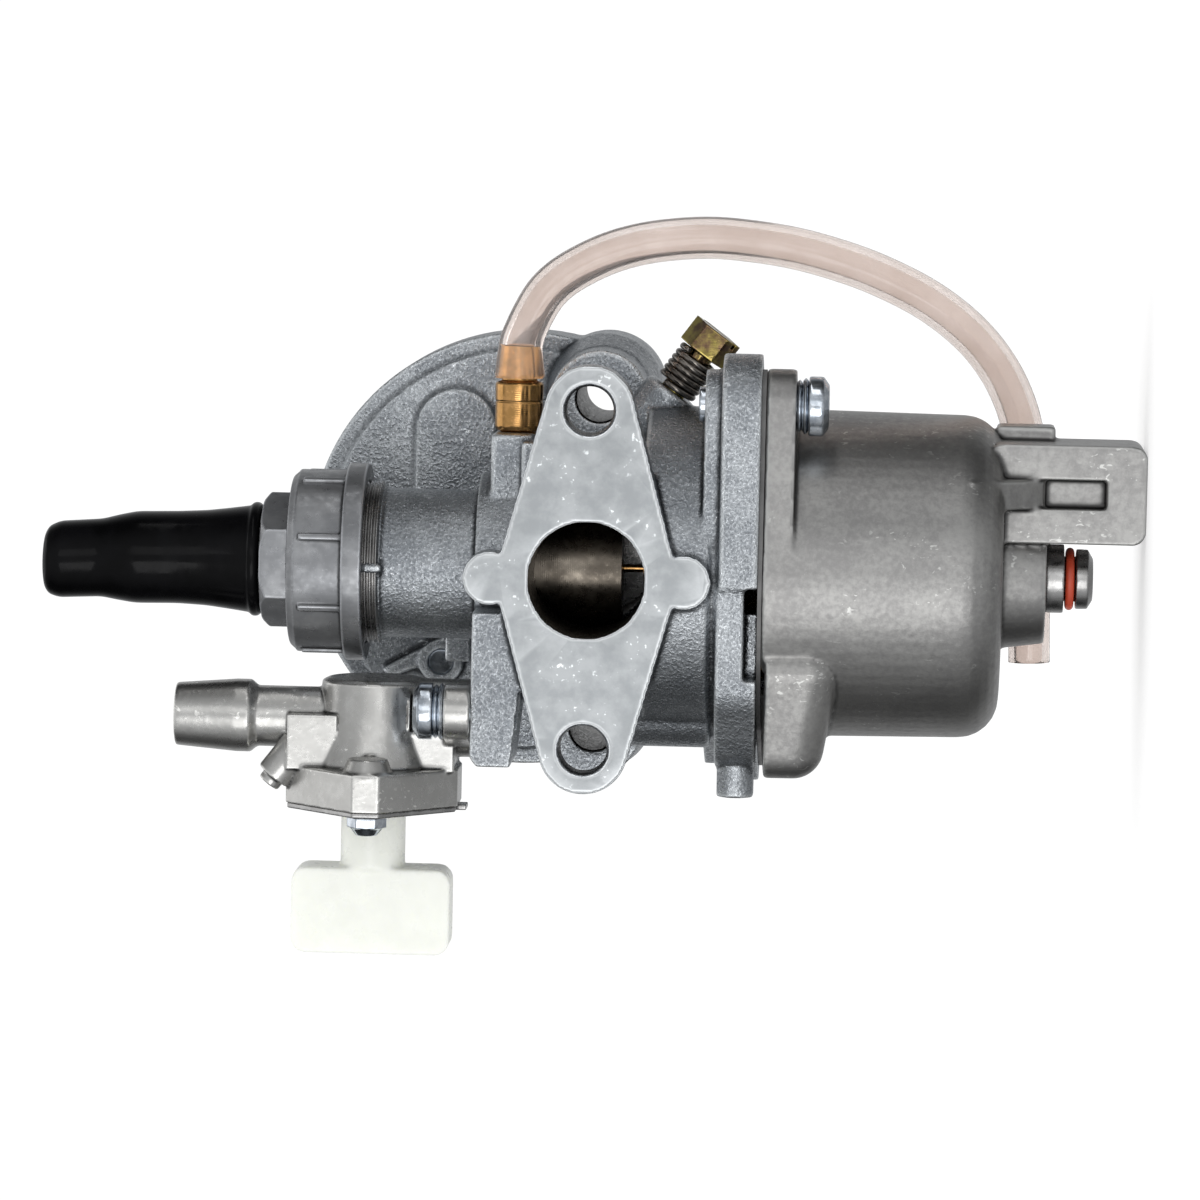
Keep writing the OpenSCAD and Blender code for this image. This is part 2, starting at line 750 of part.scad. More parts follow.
module fuel_tap_body() {
    base = -tap_base_x;
    color("#b3b1ab") difference() {
        union() {
            on_tap() {
                rotate_extrude() polygon(concat(
                    [[0, 12.5], [5.3, 12.5], [6.05, 12.9]],
                    [for (t = [0.2 : 0.2 : 1]) [6.1 + 1.6 * t * t, 12.9 + (base - 12.9) * t]],
                    [[0, base]]
                ));
                translate([0, 0, base]) linear_extrude(base_t) tap_outline(9.7, 12.5);
                for (s = [-1, 1]) translate([0, s * 9.6, 0]) taper(2.2, 3, base - 1.6, base + 0.5);
            }
            translate([-17.2, tap_y, 0]) {
                post(3.45, tap_z, 38);
                taper(3.45, 4.12, 37.4, 38.2);
                post(4.12, 38.2, 39.8);
                taper(4.12, 3.55, 39.8, 46.7);
            }
            block([-22.6, 6.4, 28], [-16.4, 17.6, 33.6]);
            block([-22.6, tap_y - 5, 14.8], [-17.4, tap_y + 5, 20]);
            translate([tap_neck[0], tap_neck[1], 0]) post(neck_r, tap_face + 0.02, 20);
            translate([0, 0, tap_face + 0.02]) linear_extrude(lug_top - tap_face - 0.02) hull() {
                translate(tap_neck) circle(neck_r - 0.7);
                translate(tap_screw) circle(3.2);
            }
            // slanting stop lug beside the barb
            translate([-22.4, 8.6, 34.2]) rotate([0, -52, 0]) {
                post(2.1, -3, 1.6);
                post(1.3, 1.5, 2.6);
            }
        }
        translate([tap_screw[0], tap_screw[1], 0]) {
            post(1.95, 10, 20);
            post(3.45, lug_top, 19.8);
        }
        on_tap() {
            post(disc_r + 0.15, base + 0.4, base + base_t + 1);
            for (s = [-1, 1]) translate([0, s * 9.6, 0]) post(1.2, base - 1, base + base_t + 1);
            translate([0, 4, 0]) post(1, 17.2, base + 1);
        }
        translate([-17.2, tap_y, 0]) post(2, tap_z + 2, 50);
        translate([tap_neck[0], tap_neck[1], 0]) post(1.2, 10, 20);
    }
}

module tap_gasket() {
    base = -tap_base_x;
    color("#2a2a2a") on_tap() difference() {
        post(disc_r + 0.1, base + 0.42, base + 1.4);
        for (s = [-1, 1]) translate([0, s * 4, 0]) post(1, 0, 40);
    }
}

module tap_lever() {
    base = -tap_base_x;
    color("#f2f5f0") on_tap() {
        post(disc_r, base + 1.43, base + 3.5);
        post(3.66, base + 3.4, 34);
        hull() for (z = [35.6, 32.4 + grip_h], w = [-1, 1])
            translate([w * (grip_w / 2 - 1.7), 0, z]) rotate([90, 0, 0])
                cylinder(r = 1.7, h = 6.4, center = true, $fn = 32);
    }
}

module wave_washer() {
    base = -tap_base_x;
    color("#9aa0a6") on_tap() ring(6.8, 3.75, base + 3.53, base + 3.95);
}

module retainer_plate() {
    base = -tap_base_x;
    color("#8e9296") on_tap() translate([0, 0, base + base_t + 0.02]) linear_extrude(0.6) difference() {
        union() {
            tap_outline(9.5, 12.2);
            translate([-10.6, -1.6]) square([4, 3.2]);
        }
        circle(3.78);
        for (s = [-1, 1]) translate([0, s * 9.6]) circle(1.25);
    }
}

module retainer_screws() {
    seat = -tap_base_x + base_t + 0.65;
    color("#c9ced4") on_tap() for (s = [-1, 1]) translate([0, s * 9.6, 0]) {
        post(1.18, seat - 5.4, seat + 0.1);
        hex(3.9, seat, seat + 1.2);
        taper(1.9, 1.2, seat + 1.2, seat + 2.1);
    }
}

module tap_mounting_screw() {
    color("#c9ced4") translate([tap_screw[0], tap_screw[1], lug_top + 1.25]) rotate([180, 0, 0])
        screw(1.9, 9.4, 3.2, 2.2);
}

module tap_spring_washer() {
    color("#b8bec6") translate([tap_screw[0], tap_screw[1], 0]) difference() {
        ring(3.1, 1.97, lug_top + 0.02, lug_top + 1.22);
        rotate(200) block([0, -0.25, 10], [5, 0.25, 20]);
    }
}

module tap_outlet_seal() {
    color("#1c1c1c") translate([tap_neck[0], tap_neck[1], 0]) ring(2.55, 1.25, tap_face - 1.15, tap_face);
}

carb_body();
float_bowl();
bowl_gasket();
bowl_screws();
bowl_screw_washers();
drain_screw();
drain_seal();
ring_nut();
cap_seal();
cap_insert();
adjuster_lock_nut();
cable_adjuster();
rubber_boot();
throttle_slide();
throttle_spring();
spring_seat();
jet_needle();
needle_clip();
idle_screw();
idle_spring();
vent_nipple();
vent_hose();
float();
float_pin();
float_needle();
needle_seat();
needle_jet();
main_jet();
pilot_jet();
choke_shutter();
choke_pivot_screw();
choke_washer();
fuel_tap_body();
tap_gasket();
tap_lever();
wave_washer();
retainer_plate();
retainer_screws();
tap_mounting_screw();
tap_spring_washer();
tap_outlet_seal();
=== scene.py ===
import json
import math

import bmesh
import bpy
import numpy as np
from mathutils import Matrix, Vector


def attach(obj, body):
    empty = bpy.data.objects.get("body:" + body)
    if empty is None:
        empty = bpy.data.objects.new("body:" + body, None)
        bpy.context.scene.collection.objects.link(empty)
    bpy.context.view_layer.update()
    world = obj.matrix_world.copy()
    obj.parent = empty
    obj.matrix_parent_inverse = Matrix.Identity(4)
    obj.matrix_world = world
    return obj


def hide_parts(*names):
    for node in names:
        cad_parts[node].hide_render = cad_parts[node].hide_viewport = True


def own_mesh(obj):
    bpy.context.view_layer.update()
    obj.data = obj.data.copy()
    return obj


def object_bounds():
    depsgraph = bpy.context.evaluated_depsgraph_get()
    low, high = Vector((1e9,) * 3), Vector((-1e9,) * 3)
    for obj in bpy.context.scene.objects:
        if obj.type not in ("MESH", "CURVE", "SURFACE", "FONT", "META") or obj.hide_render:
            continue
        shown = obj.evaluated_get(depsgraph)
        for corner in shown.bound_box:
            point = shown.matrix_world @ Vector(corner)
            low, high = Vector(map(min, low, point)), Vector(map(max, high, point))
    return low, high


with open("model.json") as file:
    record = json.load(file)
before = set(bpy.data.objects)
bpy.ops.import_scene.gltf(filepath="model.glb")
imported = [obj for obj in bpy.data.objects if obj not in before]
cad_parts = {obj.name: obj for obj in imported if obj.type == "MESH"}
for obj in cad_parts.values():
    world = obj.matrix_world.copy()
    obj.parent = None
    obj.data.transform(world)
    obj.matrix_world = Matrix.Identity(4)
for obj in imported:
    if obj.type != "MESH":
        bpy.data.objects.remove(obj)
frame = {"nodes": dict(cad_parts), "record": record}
cad_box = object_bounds()
scene = bpy.context.scene
MM = 0.001
BARREL_Y = 19                         # the throttle barrel's axis, in mm
BARREL = Vector((0, BARREL_Y, 0)) * MM
STUD_X = 18.9                         # half the stud spacing, in mm


# ---- Camera: level with the object and rolled, so the bore's axis points at it ----

def add_camera():
    eye = Vector((0.0582, -0.700, -0.0335))
    aim = Vector((-0.0021, 0, -0.0016))
    roll = math.radians(1.2)
    ahead = (aim - eye).normalized()
    right = ahead.cross(Vector((math.cos(roll), 0, math.sin(roll)))).normalized()
    place = Matrix((right, right.cross(ahead), -ahead)).transposed().to_4x4()
    place.translation = eye
    data = bpy.data.cameras.new("camera")
    data.lens = 190.3
    data.sensor_width = 36
    data.clip_end = 10
    camera = bpy.data.objects.new("camera", data)
    camera.matrix_world = place
    scene.collection.objects.link(camera)
    scene.camera = camera


add_camera()


# ---- Mesh helpers ----

def add(name, verts, faces):
    """New object from vertices in metres, shaded smooth."""
    mesh = bpy.data.meshes.new(name)
    mesh.from_pydata([tuple(v) for v in verts], [], faces)
    work = bmesh.new()
    work.from_mesh(mesh)
    bmesh.ops.remove_doubles(work, verts=work.verts, dist=1e-7)
    bmesh.ops.recalc_face_normals(work, faces=work.faces)
    work.to_mesh(mesh)
    work.free()
    mesh.polygons.foreach_set("use_smooth", [True] * len(mesh.polygons))
    piece = bpy.data.objects.new(name, mesh)
    scene.collection.objects.link(piece)
    return piece


def along(origin, axis):
    """Frame whose Z runs along axis from origin."""
    turn = Vector((0, 0, 1)).rotation_difference(Vector(axis).normalized())
    return Matrix.Translation(origin) @ turn.to_matrix().to_4x4()


def rounded(points, radius, steps=4):
    """Closed or open outline with each inner corner turned into a small curve."""
    out = [Vector(points[0])]
    for before, corner, after in zip(points, points[1:], points[2:]):
        before, corner, after = Vector(before), Vector(corner), Vector(after)
        a, b = before - corner, after - corner
        reach = min(radius, a.length * 0.45, b.length * 0.45)
        start, end = corner + a.normalized() * reach, corner + b.normalized() * reach
        for i in range(steps + 1):
            t = i / steps
            out.append(start * (1 - t) ** 2 + corner * 2 * t * (1 - t) + end * t * t)
    out.append(Vector(points[-1]))
    return out


def lathe(name, profile, place, radius=0.15, segments=96, wave=None):
    """Turned piece: profile is (radius, height) in mm along place's Z, from axis to axis or closed."""
    line = rounded(profile, radius)
    verts, faces = [], []
    for i in range(segments):
        a = 2 * math.pi * i / segments
        for r, h in line:
            if wave:
                r, h = wave(r, h, a)
            verts.append(place @ Vector((r * math.cos(a) * MM, r * math.sin(a) * MM, h * MM)))
    n = len(line)
    for i in range(segments):
        for j in range(n - 1):
            a, b = i * n + j, (i + 1) % segments * n + j
            faces.append((a, b, b + 1, a + 1))
    return add(name, verts, faces)


def closed(profile):
    """A profile that ends where it starts, with its seam in the middle of a side."""
    first, second = Vector(profile[0]), Vector(profile[1])
    middle = (first + second) / 2
    return [middle] + [Vector(p) for p in profile[1:]] + [first, middle]


def smooth_path(points, step):
    """Points about step apart on a smooth curve through the given ones."""
    pts = [Vector(p) for p in points]
    pts = [2 * pts[0] - pts[1]] + pts + [2 * pts[-1] - pts[-2]]
    out = []
    for p0, p1, p2, p3 in zip(pts, pts[1:], pts[2:], pts[3:]):
        count = max(1, round((p2 - p1).length / step))
        for i in range(count):
            t = i / count
            out.append(0.5 * (2 * p1 + (p2 - p0) * t + (2 * p0 - 5 * p1 + 4 * p2 - p3) * t * t
                              + (3 * p1 - p0 - 3 * p2 + p3) * t ** 3))
    out.append(pts[-2])
    return out


def tube(name, path, sections, sides, closed_ends=True):
    """Sweeps a round section along path. sections gives (place, radius) pairs, for a hollow hose from
    the start round the outside to the end and back along the bore."""
    verts, faces = [], []
    count = len(path)
    side = None
    frames = []
    for i, point in enumerate(path):
        ahead = (path[min(i + 1, count - 1)] - path[max(i - 1, 0)]).normalized()
        if side is None:
            side = ahead.orthogonal().normalized()
        side = (side - ahead * side.dot(ahead)).normalized()
        frames.append((point, side, ahead.cross(side)))
    for index, radius in sections:
        point, a, b = frames[index]
        for k in range(sides):
            turn = 2 * math.pi * k / sides
            verts.append(point + (a * math.cos(turn) + b * math.sin(turn)) * radius)
    rows = len(sections)
    wrap = rows if not closed_ends else rows - 1
    for i in range(wrap):
        j = (i + 1) % rows
        for k in range(sides):
            after = (k + 1) % sides
            faces.append((i * sides + k, i * sides + after, j * sides + after, j * sides + k))
    if closed_ends:
        faces.append(tuple(range(sides - 1, -1, -1)))
        faces.append(tuple((rows - 1) * sides + k for k in range(sides)))
    return add(name, verts, faces)


def relax(points, edges, rounds):
    """Moves each point half way to the mean of its neighbours, several times."""
    n = len(points)
    counts = np.bincount(edges.ravel(), minlength=n)[:, None]
    for _ in range(rounds):
        total = np.stack([
            np.bincount(edges[:, 0], points[edges[:, 1], k], n)
            + np.bincount(edges[:, 1], points[edges[:, 0], k], n) for k in range(3)], 1)
        points = points * 0.5 + total / counts * 0.5
    return points


def remesh(piece, voxel, rounds, keep):
    """Even skin with rounded edges, thinned to the share keep of its faces. A point attribute on it is
    above
    0.5 on edges and below in creases; it gives worn edges and painted shade in creases."""
    grid = piece.modifiers.new("grid", "REMESH")
    grid.mode = "VOXEL"
    grid.voxel_size = voxel * MM
    skin = bpy.data.meshes.new_from_object(piece.evaluated_get(bpy.context.evaluated_depsgraph_get()))
    piece.modifiers.clear()
    count = len(skin.vertices)
    raw = np.empty(count * 3, np.float32)
    skin.vertices.foreach_get("co", raw)
    points = raw.reshape(-1, 3).astype(np.float64)
    raw = np.empty(len(skin.edges) * 2, np.int32)
    skin.edges.foreach_get("vertices", raw)
    edges = raw.reshape(-1, 2)
    soft = relax(points, edges, rounds)
    softer = relax(soft, edges, 10)
    skin.vertices.foreach_set("co", soft.astype(np.float32).ravel())
    skin.update()
    normals = np.empty(count * 3, np.float32)
    skin.vertices.foreach_get("normal", normals)
    rise = ((soft - softer) * normals.reshape(-1, 3)).sum(1) / (0.6 * voxel * MM)
    wear_and_crease_shade = skin.attributes.new("wear_and_crease_shade", "FLOAT", "POINT")
    wear_and_crease_shade.data.foreach_set("value", np.clip(0.5 + 0.5 * rise, 0, 1).astype(np.float32))
    skin.polygons.foreach_set("use_smooth", [True] * len(skin.polygons))
    old = piece.data
    piece.data = skin
    bpy.data.meshes.remove(old)
    fewer = piece.modifiers.new("fewer", "DECIMATE")
    fewer.ratio = keep
    thin = bpy.data.meshes.new_from_object(piece.evaluated_get(bpy.context.evaluated_depsgraph_get()))
    piece.modifiers.clear()
    piece.data = thin
    bpy.data.meshes.remove(skin)
    thin.polygons.foreach_set("use_smooth", [True] * len(thin.polygons))


def finish(piece, material, slot, *nodes, body=None):
    """Gives a piece its material and body, and hides the CAD nodes that it stands for. Its slot argument
    is not used.
    """
    piece.data.materials.clear()
    piece.data.materials.append(material)
    if nodes:
        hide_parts(*nodes)
    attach(piece, body or BODY_OF[nodes[0]])
    return piece


BODY_OF = {n: b for b, ns in frame["record"]["behaviour"]["bodies"].items() for n in ns}


# ---- Materials: procedural, in object space ----

class Surface:
    """A material built from nodes in the object's own space, in metres."""

    def __init__(self, name, **sockets):
        self.material = bpy.data.materials.new(name)
        self.material.use_nodes = True
        self.tree = self.material.node_tree
        self.shader = self.tree.nodes["Principled BSDF"]
        self.place = self.node("ShaderNodeTexCoord").outputs["Object"]
        for key, value in sockets.items():
            self.shader.inputs[key.replace("_", " ")].default_value = value

    def node(self, kind, inputs=None, **settings):
        made = self.tree.nodes.new(kind)
        for key, value in settings.items():
            setattr(made, key, value)
        for key, value in (inputs or {}).items():
            if isinstance(value, bpy.types.NodeSocket):
                self.tree.links.new(value, made.inputs[key])
            else:
                made.inputs[key].default_value = value
        return made

    def stretched(self, x, y, z):
        return self.node("ShaderNodeMapping", {"Vector": self.place, "Scale": (x, y, z)}).outputs[0]

    def noise(self, scale, detail=3, rough=0.55, at=None, warp=0.0):
        return self.node("ShaderNodeTexNoise", {
            "Vector": at or self.place, "Scale": scale, "Detail": detail, "Roughness": rough,
            "Distortion": warp}).outputs["Fac"]

    def band(self, value, low, high, to_low=0.0, to_high=1.0):
        return self.node("ShaderNodeMapRange", {
            "Value": value, "From Min": low, "From Max": high, "To Min": to_low, "To Max": to_high},
            interpolation_type="SMOOTHSTEP").outputs["Result"]

    def calc(self, operation, a, b=0.0):
        return self.node("ShaderNodeMath", {0: a, 1: b}, operation=operation).outputs[0]

    def axis(self, index):
        return self.node("ShaderNodeSeparateXYZ", {0: self.place}).outputs[index]

    def reach(self, x, z):
        """Distance from the two lines along Y at plus and minus x, in metres."""
        folded = self.node("ShaderNodeVectorMath", {0: self.place}, operation="ABSOLUTE").outputs[0]
        flat = self.node("ShaderNodeVectorMath", {0: folded, 1: (1, 0, 1)},
                         operation="MULTIPLY").outputs[0]
        return self.node("ShaderNodeVectorMath", {0: flat, 1: (x * MM, 0, z * MM)},
                         operation="DISTANCE").outputs["Value"]

    def wear_and_crease_shade(self):
        return self.node("ShaderNodeAttribute", attribute_name="wear_and_crease_shade").outputs["Fac"]

    def blend(self, amount, a, b):
        made = self.node("ShaderNodeMix", data_type="RGBA")
        for socket, value in ((made.inputs[0], amount), (made.inputs[6], a), (made.inputs[7], b)):
            if isinstance(value, bpy.types.NodeSocket):
                self.tree.links.new(value, socket)
            elif socket == made.inputs[0]:
                socket.default_value = value
            else:
                socket.default_value = (*value, 1)
        return made.outputs[2]

    def bump(self, height, depth, strength=1.0, below=None):
        inputs = {"Height": height, "Distance": depth * MM, "Strength": strength}
        if below:
            inputs["Normal"] = below
        return self.node("ShaderNodeBump", inputs).outputs["Normal"]

    def out(self, color=None, rough=None, normal=None):
        for key, value in (("Base Color", color), ("Roughness", rough), ("Normal", normal)):
            if value is not None:
                self.tree.links.new(value, self.shader.inputs[key])
        return self.material


def casting(name, dark, light, grain, depth, rough, nick_and_glint, glint_speck, body=False):
    """Blasted or tumbled light alloy: grain with painted glints, blotches, bright worn edges, painted
    shade in creases and small bright nicks. The body also has a milled flange face and smoother bores,
    painted dark as shade."""
    s = Surface(name, Metallic=0.97)
    fine = s.noise(grain, 2, 0.65)
    blotch = s.noise(110, 4, 0.62)
    tone = s.calc("ADD", s.calc("MULTIPLY", fine, 0.4), s.calc("MULTIPLY", blotch, 0.6))
    color = s.blend(s.band(tone, 0.38, 0.62), dark, light)
    # painted glints: bright specks in the grain
    color = s.blend(s.band(s.noise(grain * 1.9, 1, 0.5), 0.62, 0.72, 0, glint_speck), color, nick_and_glint)
    wear_and_crease_shade = s.wear_and_crease_shade()
    # painted shade: creases darkened to a sixth of the dark tone
    color = s.blend(s.band(wear_and_crease_shade, 0.44, 0.16, 0, 0.85), color, [c * 0.16 for c in dark])
    color = s.blend(s.band(wear_and_crease_shade, 0.58, 0.86, 0, 0.75), color, nick_and_glint)
    # nicks in loose groups, a tenth of a millimetre to half a millimetre long
    marks = s.calc("MULTIPLY", s.band(s.noise(1500, 2, 0.6, s.stretched(1, 1, 0.6), 1.0), 0.63, 0.68),
                   s.band(s.noise(140, 2, 0.6), 0.52, 0.62))
    color = s.blend(s.calc("MULTIPLY", marks, 0.85), color, nick_and_glint)
    height = s.calc("ADD", fine, s.calc("MULTIPLY", s.noise(grain * 0.4, 2), 0.7))
    roughness = s.band(fine, 0.3, 0.7, rough + depth, rough - depth * 0.8)
    if body:
        front = s.band(s.axis(1), 0.00014, 0.00004)
        flat = s.blend(s.band(s.noise(260, 5, 0.6), 0.36, 0.66),
                       (0.31, 0.325, 0.335), (0.41, 0.425, 0.435))
        flat = s.blend(s.calc("MULTIPLY", s.band(s.noise(1300, 2, 0.6), 0.60, 0.66),
                              s.band(s.noise(260, 2), 0.51, 0.61)), flat, (0.80, 0.83, 0.84))
        flat = s.blend(s.band(wear_and_crease_shade, 0.54, 0.70, 0, 0.8), flat, (0.72, 0.74, 0.75))
        color = s.blend(front, color, flat)
        plain = s.calc("MULTIPLY", front, 0.93)
        roughness = s.calc("ADD", s.calc("MULTIPLY", roughness, s.calc("SUBTRACT", 1.0, front)),
                           s.calc("MULTIPLY", front, 0.38))
        # painted shade inside the throat and the stud holes
        throat = s.band(s.reach(0, 0), 0.0067, 0.0065)
        bores = s.calc("MAXIMUM", throat, s.band(s.reach(STUD_X, 0), 0.0029, 0.0027))
        bores = s.calc("MULTIPLY", bores, s.band(s.axis(1), 0.0001, 0.0006))
        bore_shade = s.blend(s.band(s.noise(300, 3, 0.6), 0.35, 0.65),
                       (0.022, 0.02, 0.018), (0.07, 0.062, 0.052))
        color = s.blend(bores, color, bore_shade)
        plain = s.calc("MAXIMUM", plain, s.calc("MULTIPLY", bores, 0.75))
        height = s.calc("MULTIPLY", height, s.calc("SUBTRACT", 1.0, plain))
    return s.out(color, roughness, s.bump(height, depth))


def metal(name, color, other, rough, patch=260, lines=None, depth=0.006, metallic=1.0, edges=False):
    """Plain, plated or turned metal with patches, fine scratches, optional turning lines and optional worn
    edges with painted shade in creases.
    """
    s = Surface(name, Metallic=metallic)
    patches = s.noise(patch, 4, 0.6)
    scratch = s.noise(2600, 2, 0.6, s.stretched(1, 1, 0.12))
    tone = s.blend(s.band(patches, 0.40, 0.60), color, other)
    tone = s.blend(s.band(s.noise(3100, 2), 0.62, 0.74, 0, 0.35), tone, [min(1, c * 1.7) for c in color])
    if edges:
        wear_and_crease_shade = s.wear_and_crease_shade()
        # painted shade: creases darkened to a fifth of the tone
        tone = s.blend(s.band(wear_and_crease_shade, 0.45, 0.2, 0, 0.85), tone, [c * 0.2 for c in color])
        tone = s.blend(s.band(wear_and_crease_shade, 0.58, 0.85, 0, 0.75), tone, [min(1, c * 2.6) for c in color])
    height = scratch
    if lines is not None:
        ripple = s.node("ShaderNodeTexWave", {"Vector": s.place, "Scale": 1300, "Distortion": 0.6,
                                              "Detail": 2}, bands_direction=lines).outputs["Fac"]
        height = s.calc("ADD", scratch, ripple)
    return s.out(tone, s.band(s.noise(900, 3), 0.3, 0.7, rough - 0.06, rough + 0.1), s.bump(height, depth))


def plastic(name, color, other, rough, grain=1500, depth=0.008, **sockets):
    """Moulded plastic, rubber or paper in two close tones."""
    s = Surface(name, **sockets)
    tone = s.blend(s.band(s.noise(220, 3), 0.35, 0.65), color, other)
    return s.out(tone, s.band(s.noise(600, 3), 0.3, 0.7, rough - 0.05, rough + 0.08),
                 s.bump(s.noise(grain, 3), depth))


MAT = {
    "body_casting": casting("body_casting", (0.23, 0.245, 0.265), (0.42, 0.44, 0.46), 3000, 0.13, 0.32,
                            (0.78, 0.81, 0.83), 0.36, body=True),
    "bowl_casting": casting("bowl_casting", (0.29, 0.285, 0.28), (0.37, 0.365, 0.355), 1500, 0.018, 0.39,
                            (0.62, 0.62, 0.60), 0.04),
    "tap_casting": casting("tap_casting", (0.45, 0.445, 0.43), (0.52, 0.515, 0.50), 900, 0.018, 0.28,
                           (0.86, 0.85, 0.82), 0.03),
    "cap_metal": metal("cap_metal", (0.22, 0.225, 0.235), (0.28, 0.285, 0.295), 0.32, 200,
                       depth=0.004, metallic=0.85, edges=True),
    "zinc_screw": metal("zinc_screw", (0.42, 0.46, 0.51), (0.62, 0.66, 0.71), 0.12, 700),
    "steel": metal("steel", (0.43, 0.425, 0.42), (0.35, 0.345, 0.34), 0.26, 300),
    "spring_steel": metal("spring_steel", (0.10, 0.09, 0.08), (0.22, 0.20, 0.18), 0.15, 600),
    "yellow_zinc": metal("yellow_zinc", (0.15, 0.09, 0.06), (0.37, 0.30, 0.09), 0.10, 330),
    "brass": metal("brass", (0.62, 0.345, 0.13), (0.47, 0.26, 0.09), 0.17, 500, "X", 0.004),
    "slide_metal": metal("slide_metal", (0.20, 0.175, 0.145), (0.11, 0.095, 0.078), 0.28, 160, "Z", 0.003),
    "black_rubber": plastic("black_rubber", (0.0012, 0.0012, 0.0014), (0.0025, 0.0025, 0.003), 0.15,
                            900, 0.006, Specular_IOR_Level=0.10),
    "red_seal": plastic("red_seal", (0.50, 0.060, 0.025), (0.38, 0.045, 0.02), 0.3),
    "clear_hose": plastic("clear_hose", (0.85, 0.77, 0.73), (0.81, 0.725, 0.68), 0.07, 500, 0.003,
                          Transmission_Weight=0.9, IOR=1.42),
    "white_nylon": plastic("white_nylon", (0.79, 0.805, 0.755), (0.76, 0.775, 0.725), 0.3, 900, 0.006,
                           Subsurface_Weight=0.35, Subsurface_Radius=(0.003, 0.003, 0.0025),
                           Subsurface_Scale=1.0),
    "float_plastic": plastic("float_plastic", (0.72, 0.68, 0.55), (0.62, 0.58, 0.46), 0.4),
    "gasket_paper": plastic("gasket_paper", (0.10, 0.10, 0.10), (0.15, 0.15, 0.15), 0.7, 2500, 0.02),
}


# ---- Vent hose: a clear tube with its wall, over the nipple's barb and round to its cut end ----

HOSE = [      # its middle line, in mm
    (21.4, 18.6, 8.9), (23.6, 18.6, 8.9), (25.8, 18.7, 8.7), (28.7, 18.8, 7.5), (31.3, 18.9, 5.9),
    (33.4, 19, 3.5), (35.5, 19.1, -0.4), (36.8, 19.3, -4.4), (37.5, 19.6, -8.8), (37.7, 20, -13.2),
    (37.3, 20.6, -18), (36.6, 21.2, -22.4), (35.4, 22, -27), (33.9, 22.9, -31.3), (31.6, 24, -36.2),
    (29.1, 25.2, -40), (26.3, 26.6, -43.1), (23.2, 27.9, -45.5), (20, 28.9, -47.2), (16.8, 29.5, -48.3),
    (13, 29.8, -49), (8.5, 29.9, -49.4), (4, 29.9, -49.6), (-1, 29.9, -49.7), (-6, 29.9, -49.8),
    (-10.6, 29.9, -49.9)
]


def vent_hose():
    path = smooth_path([Vector(p) * MM for p in HOSE], 0.6 * MM)
    last = len(path) - 1

    def swell(i, inner, barb_root, barb_tip):
        """Radius in mm: stretched over the barb from root to tip, then easing back."""
        along_hose = (path[i] - path[0]).length / MM
        past = min(1, max(0, along_hose - 3.6) / 2.2)
        over = barb_root + (barb_tip - barb_root) * min(1, along_hose / 3.8)
        return (over + (inner - over) * past * past * (3 - 2 * past)) * MM

    sections = [(0, swell(0, 2.4, 2.75, 2.5))]
    sections += [(i, swell(i, 2.4, 2.9, 2.5)) for i in range(last + 1)]
    sections += [(last, 2.3 * MM), (last, 1.6 * MM)]
    sections += [(i, swell(i, 1.5, 1.98, 1.6)) for i in range(last, -1, -1)]
    hose = tube("vent_hose_clear", path, sections, 40, closed_ends=False)
    finish(hose, MAT["clear_hose"], "clear_hose", "vent_hose")


vent_hose()


# ---- Castings and other pieces that keep the CAD shape, with rounded edges ----

def draw_in(piece, low, high, radius):
    """Draws the body's skin in to a radius round the barrel, under the crisp thread. The key stays."""
    crest, half_key = 9.7, 0.6
    for vertex in piece.data.vertices:
        x, y, z = vertex.co / MM - Vector((0, BARREL_Y, 0))
        reach = math.hypot(x, y)
        if low < z < high and radius < reach < crest and not (abs(x) < half_key and y < 0):
            vertex.co.x = x * radius / reach * MM
            vertex.co.y = (y * radius / reach + BARREL_Y) * MM


def skin(node, slot, voxel, rounds, keep):
    """Rounded skin that stands for a CAD node. Voxel is in mm."""
    mesh = frame["nodes"][node].data.copy()
    work = bmesh.new()
    work.from_mesh(mesh)
    bmesh.ops.remove_doubles(work, verts=work.verts, dist=2e-6)
    work.to_mesh(mesh)
    work.free()
    piece = bpy.data.objects.new(node + "_skin", mesh)
    scene.collection.objects.link(piece)
    remesh(piece, voxel, rounds, keep)
    if node == "carb_body":
        draw_in(piece, 23.95, 31.7, 8.65)
    return finish(piece, MAT[slot], slot, node)


# node, slot, voxel in mm, rounds of smoothing, share of faces kept
for node, slot, voxel, rounds, keep in (
        ("carb_body", "body_casting", 0.26, 3, 0.24),
        ("float_bowl", "bowl_casting", 0.24, 3, 0.3),
        ("fuel_tap_body", "tap_casting", 0.16, 3, 0.32),
        ("ring_nut", "cap_metal", 0.14, 2, 0.3),
        ("cap_insert", "cap_metal", 0.13, 2, 0.3),
        ("tap_lever", "white_nylon", 0.22, 5, 0.45),
        ("retainer_plate", "steel", 0.12, 2, 0.3),
        ("retainer_screws", "zinc_screw", 0.1, 2, 0.5),
        ("tap_mounting_screw", "zinc_screw", 0.1, 7, 0.4),
        ("bowl_screws", "zinc_screw", 0.11, 8, 0.35),
        ("drain_screw", "steel", 0.1, 5, 0.35),
        ("idle_screw", "yellow_zinc", 0.1, 2, 0.4),
        ("choke_shutter", "steel", 0.14, 2, 0.3),
        ("choke_pivot_screw", "zinc_screw", 0.1, 2, 0.5)):
    skin(node, slot, voxel, rounds, keep)

for part in frame["record"]["subparts"]:
    cad = frame["nodes"][part["node"]]
    if not cad.hide_render:
        cad.data.materials.clear()
        cad.data.materials.append(MAT[part["material_slot"]])


# ---- Rubber boot ----

